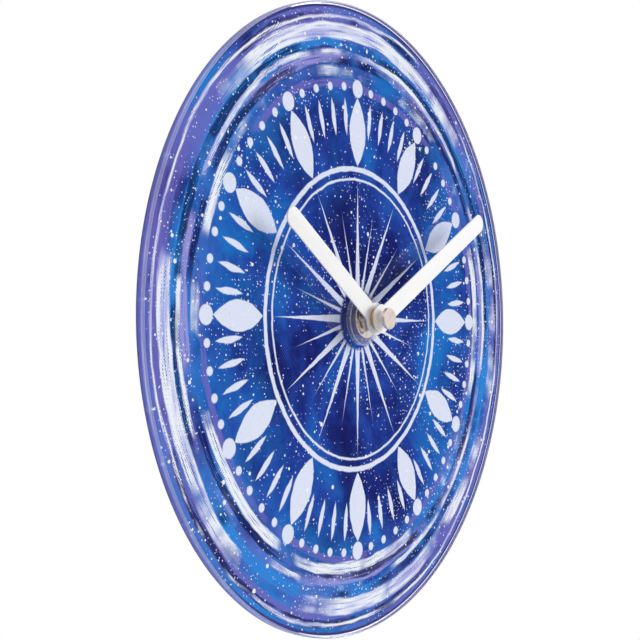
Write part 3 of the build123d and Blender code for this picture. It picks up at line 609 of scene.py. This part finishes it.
def board_laminate():
    """Green solder mask over broad copper tracks."""
    finish = Finish("board_laminate", roughness=0.35)
    inputs = {"Vector": finish.place(), "Scale": 320.0}
    tracks = finish.node("TexVoronoi", inputs, distance="CHEBYCHEV").outputs["Distance"]
    raised = finish.span(tracks, 0.3, 0.34)
    finish.surface("Base Color", finish.mix(raised, srgb(24, 84, 52), srgb(44, 118, 70)))
    finish.bump(tracks, 0.02 * MM, 0.3)
    return finish.material


def cell_film():
    """The cell's plain shrink sleeve: grey, with one green band near the positive end."""
    finish = Finish("cell_film", roughness=0.28, coat_weight=0.4, coat_roughness=0.12)
    place = finish.place()
    lo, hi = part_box("aa_cell_sleeve")
    band_x0 = hi.x - SLEEVE_BAND_SHARE * (hi.x - lo.x)
    band = finish.math("GREATER_THAN", finish.split(place)[0], band_x0)
    grey = finish.mix(finish.noise(place, 120.0, detail=4.0), srgb(150, 154, 158), srgb(172, 175, 178))
    green = finish.mix(finish.noise(place, 160.0, detail=4.0), srgb(46, 112, 74), srgb(58, 128, 86))
    finish.surface("Base Color", finish.mix(band, grey, green))
    finish.bump(finish.noise(place, 700.0, detail=2.0), 0.02 * MM, 0.2)
    return finish.material


# Mesh building

def rounded(corners, steps=CORNER_STEPS):
    """A closed outline of (radius, depth, corner radius) points, with its corners turned into curves."""
    outline = []
    for index, (radius, depth, corner_r) in enumerate(corners):
        corner = Vector((radius, depth))
        if corner_r == 0:
            outline.append(corner)
            continue
        before = (Vector(corners[index - 1][:2]) - corner).normalized()
        after = (Vector(corners[(index + 1) % len(corners)][:2]) - corner).normalized()
        start = corner + before * corner_r
        end = corner + after * corner_r
        hold = CORNER_HOLD * corner_r
        outline.append(start + before * hold)
        for step in range(steps + 1):
            share = step / steps
            outline.append(start.lerp(corner, share).lerp(corner.lerp(end, share), share))
        outline.append(end + after * hold)
    return outline


def about_dial(radius, depth, turn):
    return radius * cos(turn), depth, radius * sin(turn)


def tube(outlines, turn_point=about_dial):
    """Vertices and faces of closed outlines set evenly round an axis, each joined to the next.

    turn_point gives the place of a radius, depth and turn.
    """
    vertices = []
    faces = []
    steps = len(outlines)
    for step, outline in enumerate(outlines):
        turn = 2 * pi * step / steps
        vertices += [turn_point(radius, depth, turn) for radius, depth in outline]
        count = len(outline)
        here = step * count
        there = (step + 1) % steps * count
        for first in range(count):
            second = (first + 1) % count
            faces.append((here + first, here + second, there + second, there + first))
    return vertices, faces


def clean(mesh, sharp_degrees):
    """Shared points merged, normals outwards, smooth but for sharp edges."""
    work = bmesh.new()
    work.from_mesh(mesh)
    bmesh.ops.remove_doubles(work, verts=work.verts, dist=MERGE_DISTANCE)
    bmesh.ops.dissolve_degenerate(work, edges=work.edges, dist=MERGE_DISTANCE)
    bmesh.ops.recalc_face_normals(work, faces=work.faces)
    work.to_mesh(mesh)
    work.free()
    mesh.shade_smooth()
    mesh.set_sharp_from_angle(angle=radians(sharp_degrees))


def tube_mesh(name, outlines, turn_point=about_dial, sharp_degrees=SHARP_DEGREES):
    vertices, faces = tube(outlines, turn_point)
    mesh = bpy.data.meshes.new(name)
    mesh.from_pydata(vertices, [], faces)
    clean(mesh, sharp_degrees)
    return mesh


def lathe(name, outline, steps=SMALL_STEPS, turn_point=about_dial):
    return tube_mesh(name, [outline] * steps, turn_point)


def plate(name, outlines, back, front):
    """A flat plate with softened edges, cut to outlines of (x, up) points; the first is the outer one."""
    curve = bpy.data.curves.new(name, "CURVE")
    curve.dimensions = "2D"
    curve.fill_mode = "BOTH"
    curve.bevel_depth = HAND_BEVEL
    curve.bevel_resolution = 2
    curve.offset = -HAND_BEVEL
    curve.extrude = (back - front) / 2 - HAND_BEVEL
    for outline in outlines:
        spline = curve.splines.new("POLY")
        spline.points.add(len(outline) - 1)
        for point, (x, up) in zip(spline.points, outline):
            point.co = (x, up, 0.0, 1.0)
        spline.use_cyclic_u = True
    holder = bpy.data.objects.new(name + "_outline", curve)
    mesh = bpy.data.meshes.new_from_object(holder)
    mesh.name = name
    bpy.data.objects.remove(holder)
    upright = Matrix.Translation((0.0, (back + front) / 2, 0.0)) @ Matrix.Rotation(pi / 2, 4, "X")
    mesh.transform(upright)
    clean(mesh, SHARP_DEGREES)
    return mesh


def piece(name, mesh, body, slot, node, *materials):
    """A shown piece that rides on a body and stands for a CAD node."""
    shown = bpy.data.objects.new(name, mesh)
    bpy.context.scene.collection.objects.link(shown)
    for material in materials:
        mesh.materials.append(material)
    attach(shown, body)
    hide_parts(node)
    return shown


def paint_faces(shown, pick):
    """Give each face the material whose index pick gives for the Y of the face's normal."""
    for face in shown.data.polygons:
        face.material_index = pick(face.normal.y)


# Dial and washers

def dial(clear, edge, front_print, backing):
    lo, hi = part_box("acrylic_dial")
    outline = rounded((
        (DIAL_BORE_R, hi.y, 0),
        (hi.x, hi.y, DIAL_EDGE_R),
        (hi.x, lo.y, DIAL_EDGE_R),
        (DIAL_BORE_R, lo.y, 0),
    ), DIAL_EDGE_STEPS)
    mesh = lathe("clear_disc", outline, DIAL_STEPS)
    shown = piece("clear_disc", mesh, "clock_body", "clear_acrylic", "acrylic_dial", clear, edge)
    paint_faces(shown, lambda tilt: int(abs(tilt) <= FLAT_FACE))

    lo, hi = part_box("printed_film")
    front = lo.y - PRINT_SINK
    outline = [(DIAL_BORE_R, hi.y), (hi.x, hi.y), (hi.x, front), (DIAL_BORE_R, front)]
    mesh = lathe("print", outline, DIAL_STEPS)
    shown = piece("print", mesh, "clock_body", "printed_film", "printed_film", front_print, backing)
    paint_faces(shown, lambda tilt: int(tilt >= FRONT_FACE))


def washer(name, node, slot, corner_r, lift, *materials):
    """A washer in its node's box; its rounded outer corners take the last material."""
    lo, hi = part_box(node)
    outline = rounded((
        (WASHER_BORE_R, hi.y - lift, 0),
        (hi.x, hi.y - lift, corner_r),
        (hi.x, lo.y + lift, corner_r),
        (WASHER_BORE_R, lo.y + lift, 0),
    ))
    shown = piece(name, lathe(name, outline), "clock_body", slot, node, *materials)
    last = len(materials) - 1
    paint_faces(shown, lambda tilt: last if UPRIGHT_FACE < abs(tilt) < FLAT_FACE else 0)


# Hands and the stack that holds them

def arc(radius, middle, start, end, steps):
    """Points of an arc, clockwise from twelve o'clock."""
    turns = [start + (end - start) * step / steps for step in range(steps + 1)]
    return [(radius * sin(turn), middle + radius * cos(turn)) for turn in turns]


def hand_outline(width, reach, base_r):
    """A baton with a round tip and a wider round base, pointing to twelve o'clock."""
    half = width / 2
    shoulder = asin(half / base_r)
    tip = arc(half, reach - half, -pi / 2, pi / 2, TIP_STEPS)
    base = arc(base_r, 0.0, shoulder, 2 * pi - shoulder, BASE_STEPS)
    return tip + base


def hand(name, body, material, width, base_r, bore_r, turn):
    """A hand as long as its node."""
    lo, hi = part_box(name)
    vertices = frame["nodes"][name].data.vertices
    reach = max(Vector((vertex.co.x, vertex.co.z)).length for vertex in vertices)
    last_turn = 2 * pi * (BORE_STEPS - 1) / BORE_STEPS
    bore = arc(bore_r, 0.0, 0.0, last_turn, BORE_STEPS - 1)
    swing = Matrix.Rotation(-turn, 2)
    outlines = [
        [swing @ Vector(point) for point in outline]
        for outline in (hand_outline(width, reach, base_r), bore)
    ]
    mesh = plate(name + "_painted", outlines, hi.y, lo.y)
    piece(name + "_painted", mesh, body, "white_paint", name, material)


def nut(face_metal, flat_metal):
    """A hexagon nut with chamfered corners on both faces; its flats are rougher than its faces and painted
    darker as shade.
    """
    lo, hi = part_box("hex_nut")
    face_r = NUT_FLATS / 2 * NUT_FACE_SHARE
    columns = []
    for step in range(SMALL_STEPS):
        turn = 2 * pi * step / SMALL_STEPS
        off_flat = turn % (2 * pi / NUT_SIDES) - pi / NUT_SIDES
        outer = NUT_FLATS / 2 / cos(off_flat)
        drop = (outer - face_r) * tan(NUT_CHAMFER_TILT)
        columns.append((
            (THREAD_R, hi.y),
            (face_r, hi.y),
            (outer, hi.y - drop),
            (outer, lo.y + drop),
            (face_r, lo.y),
            (THREAD_R, lo.y),
        ))
    mesh = tube_mesh("nickel_nut", columns, sharp_degrees=NUT_SHARP_DEGREES)
    shown = piece("nickel_nut", mesh, "clock_body", "nickel_plate", "hex_nut", face_metal, flat_metal)
    paint_faces(shown, lambda tilt: int(abs(tilt) < NUT_UPRIGHT_FACE))


def cap(material):
    """The closed nut in front of the minute hand: a neck and a flat round head."""
    lo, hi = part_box("cap_nut")
    step_y = hi.y - CAP_NECK_T
    outline = rounded((
        (0.0, hi.y, 0),
        (CAP_NECK_R, hi.y, CAP_FOOT_CORNER_R),
        (CAP_NECK_R, step_y, CAP_STEP_CORNER_R),
        (hi.x, step_y, CAP_STEP_CORNER_R),
        (hi.x, lo.y, CAP_FACE_CORNER_R),
        (0.0, lo.y, 0),
    ))
    piece("cap", lathe("cap", outline), "minute_hand_group", "rose_brass", "cap_nut", material)


def collar(material):
    """The turned collar between the hands, with a shallow groove round its middle."""
    lo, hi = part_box("minute_hand_collet")
    middle = (lo.y + hi.y) / 2
    outline = rounded((
        (MINUTE_BORE_R, hi.y, 0),
        (hi.x, hi.y, COLLAR_CORNER_R),
        (hi.x, middle + GROOVE_HALF, GROOVE_CORNER_R),
        (hi.x - GROOVE_DEPTH, middle, GROOVE_CORNER_R),
        (hi.x, middle - GROOVE_HALF, GROOVE_CORNER_R),
        (hi.x, lo.y, COLLAR_CORNER_R),
        (MINUTE_BORE_R, lo.y, 0),
    ))
    mesh = lathe("brass_collar", outline)
    piece("brass_collar", mesh, "minute_hand_group", "turned_brass", "minute_hand_collet", material)


# Back of the movement

def cell(can_metal, film):
    """The AA cell in its sleeve, with a rolled shoulder and a nub."""
    can_lo, can_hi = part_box("aa_cell")
    sleeve_lo, sleeve_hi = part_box("aa_cell_sleeve")
    middle = (sleeve_lo + sleeve_hi) / 2
    sleeve_r = (sleeve_hi.z - sleeve_lo.z) / 2
    can_r = (can_hi.z - can_lo.z) / 2

    def along_x(radius, depth, turn):
        return depth, middle.y + radius * cos(turn), middle.z + radius * sin(turn)

    shoulder_x = can_hi.x - CELL_NUB_L
    outline = rounded((
        (0.0, can_lo.x, 0),
        (can_r * CELL_BASE_SHARE, can_lo.x, 0.2 * MM),
        (can_r, can_lo.x + CELL_ROLL, 0.25 * MM),
        (can_r, shoulder_x - CELL_ROLL, 0.25 * MM),
        (can_r * CELL_TOP_SHARE, shoulder_x, 0.3 * MM),
        (CELL_NUB_R, shoulder_x, 0.15 * MM),
        (CELL_NUB_R, can_hi.x, 0.3 * MM),
        (0.0, can_hi.x, 0),
    ))
    mesh = lathe("cell_can", outline, turn_point=along_x)
    piece("cell_can", mesh, "clock_body", "cell_steel", "aa_cell", can_metal)

    lip_r = can_r * SLEEVE_LIP_SHARE
    outline = rounded((
        (can_r, sleeve_lo.x + SLEEVE_LIP_L, 0),
        (lip_r, sleeve_lo.x, 0.05 * MM),
        (sleeve_r, sleeve_lo.x, 0.5 * MM),
        (sleeve_r, sleeve_hi.x, 0.5 * MM),
        (lip_r, sleeve_hi.x, 0.05 * MM),
        (can_r, sleeve_hi.x - SLEEVE_LIP_L, 0),
    ))
    mesh = lathe("cell_wrap", outline, turn_point=along_x)
    piece("cell_wrap", mesh, "clock_body", "cell_sleeve", "aa_cell_sleeve", film)


def dress_nodes(materials):
    """Give every CAD node its slot's finish."""
    for part in frame["record"]["subparts"]:
        node = frame["nodes"][part["node"]]
        node.data.materials.clear()
        node.data.materials.append(materials[part["material_slot"]])


# Studio

def key_lamp():
    lamp = bpy.data.lights.new("key", "AREA")
    lamp.shape = "RECTANGLE"
    lamp.size, lamp.size_y = KEY_SIZE
    lamp.energy = KEY_WATTS
    holder = bpy.data.objects.new("key", lamp)
    holder.location = KEY_PLACE
    holder.rotation_euler = (-KEY_PLACE).to_track_quat("-Z", "Y").to_euler()
    holder.visible_camera = False
    holder.visible_glossy = False
    bpy.context.scene.collection.objects.link(holder)


def sky():
    """A plain dome of light, which the camera, gloss and glass see as a white backdrop.

    Only a mirror-sharp reflection sees the room in front dark, as behind a polarising filter, so that
    no glare veils the dial.
    """
    world = bpy.data.worlds.new("studio")
    world.use_nodes = True
    bpy.context.scene.world = world
    studio = Nodes(world.node_tree)
    right, back, up = studio.split(studio.node("TexCoord").outputs["Generated"])
    path = studio.node("LightPath").outputs

    side = studio.span(right, *SKY_SIDE_SPAN, SKY_LEFT, SKY_RIGHT)
    dome = studio.span(back, *SKY_BACK_SPAN, side, SKY_BACK)
    front = studio.span(up, *ROOM_HEIGHT_SPAN, ROOM_LOW, ROOM_HIGH)
    room = studio.span(back, *BACKDROP_SPAN, front, 1.0)
    glare = studio.span(back, *BACKDROP_SPAN, GLARE_FRONT, 1.0)
    room = studio.fade(studio.times(path["Is Glossy Ray"], path["Is Singular Ray"]), room, glare)

    mirrored = studio.most(path["Is Glossy Ray"], path["Is Transmission Ray"])
    mirrored = studio.times(mirrored, studio.math("LESS_THAN", path["Diffuse Depth"], 0.5))
    level = studio.most(studio.fade(mirrored, dome, room), path["Is Camera Ray"])
    background = world.node_tree.nodes["Background"].inputs
    studio.feed(background["Strength"], level)
    studio.feed(background["Color"], (1.0, 1.0, 1.0, 1.0))


def floor():
    """A pale floor that looks white to the camera and still takes the clock's shadow."""
    level = cad_lo.z - FLOOR_DROP
    mesh = bpy.data.meshes.new("floor")
    mesh.from_pydata([
        (-FLOOR_HALF, -FLOOR_HALF, level),
        (FLOOR_HALF, -FLOOR_HALF, level),
        (FLOOR_HALF, FLOOR_HALF, level),
        (-FLOOR_HALF, FLOOR_HALF, level),
    ], [], [(0, 1, 2, 3)])
    finish = Finish("floor", base_color=(FLOOR_GREY, FLOOR_GREY, FLOOR_GREY, 1.0), roughness=0.9)
    finish.surface("Emission Color", (1.0, 1.0, 1.0, 1.0))
    seen = finish.node("LightPath").outputs["Is Camera Ray"]
    finish.surface("Emission Strength", finish.times(seen, FLOOR_GLOW))
    mesh.materials.append(finish.material)
    plane = bpy.data.objects.new("floor", mesh)
    bpy.context.scene.collection.objects.link(plane)


def camera():
    data = bpy.data.cameras.new("camera")
    data.lens = CAMERA_LENS
    data.sensor_width = CAMERA_SENSOR
    data.clip_start = CAMERA_NEAR
    holder = bpy.data.objects.new("camera", data)
    forward = CAMERA_FORWARD.normalized()
    right = forward.cross(CAMERA_UP).normalized()
    up = right.cross(forward)
    turn = Matrix((right, up, -forward)).transposed().to_4x4()
    holder.matrix_world = Matrix.Translation(CAMERA_PLACE) @ turn
    bpy.context.scene.collection.objects.link(holder)
    bpy.context.scene.camera = holder


clear = clear_acrylic()
film_print = dial_print()
paint = white_paint()
nickel = turned_metal("nickel_plate", srgb(236, 230, 224), srgb(222, 213, 205), 0.10)
# The nut's flats: the same nickel, rougher, and painted darker as shade.
shaded_nickel = turned_metal("shaded_nickel", srgb(190, 180, 170), srgb(138, 129, 122), 0.20)
brass = turned_metal("turned_brass", srgb(230, 184, 126), srgb(204, 146, 92), 0.26)
rose = turned_metal("rose_brass", srgb(248, 236, 228), srgb(240, 222, 210), 0.42)
steel = sheet_metal("cell_steel", srgb(206, 206, 208), 0.24)
wrap = cell_film()
dress_nodes({
    "clear_acrylic": clear,
    "printed_film": film_print,
    "black_rubber": moulded_plastic("black_rubber", srgb(26, 26, 27), 0.75, 0.05),
    "nickel_plate": nickel,
    "white_paint": paint,
    "turned_brass": brass,
    "rose_brass": rose,
    "black_plastic": moulded_plastic("black_plastic", srgb(27, 27, 29), 0.48),
    "white_acetal": moulded_plastic("white_acetal", srgb(226, 226, 220), 0.38, 0.01),
    "tinted_acetal": moulded_plastic("tinted_acetal", srgb(104, 140, 190), 0.38, 0.01),
    "spring_steel": sheet_metal("spring_steel", srgb(190, 190, 192), 0.28),
    "soft_iron": sheet_metal("soft_iron", srgb(150, 148, 146), 0.45),
    "magnet": sheet_metal("magnet", srgb(96, 96, 100), 0.5),
    "bobbin_plastic": moulded_plastic("bobbin_plastic", srgb(232, 226, 206), 0.42, 0.01),
    "copper_wire": wound_wire(),
    "board_laminate": board_laminate(),
    "epoxy": moulded_plastic("epoxy", srgb(20, 20, 22), 0.2, 0.01),
    "cell_steel": steel,
    "cell_sleeve": wrap,
    "knob_plastic": moulded_plastic("knob_plastic", srgb(214, 214, 208), 0.42, 0.02),
})

dial(clear, acrylic_edge(), film_print, film_backing())
washer(
    "clear_spacer", "clear_washer", "clear_acrylic",
    CLEAR_WASHER_CORNER_R, CLEAR_WASHER_LIFT, clear_plastic(), plastic_rim(),
)
washer("nickel_washer", "metal_washer", "nickel_plate", METAL_WASHER_CORNER_R, 0.0, nickel)
nut(nickel, shaded_nickel)
hand("hour_hand", "hour_hand_group", paint, HOUR_W, HOUR_BASE_R, HOUR_BORE_R, HOUR_TURN)
hand("minute_hand", "minute_hand_group", paint, MINUTE_W, MINUTE_BASE_R, MINUTE_BORE_R, MINUTE_TURN)
collar(brass)
cap(rose)
cell(steel, wrap)

camera()
floor()
sky()
key_lamp()
bpy.context.scene.view_settings.view_transform = "Standard"
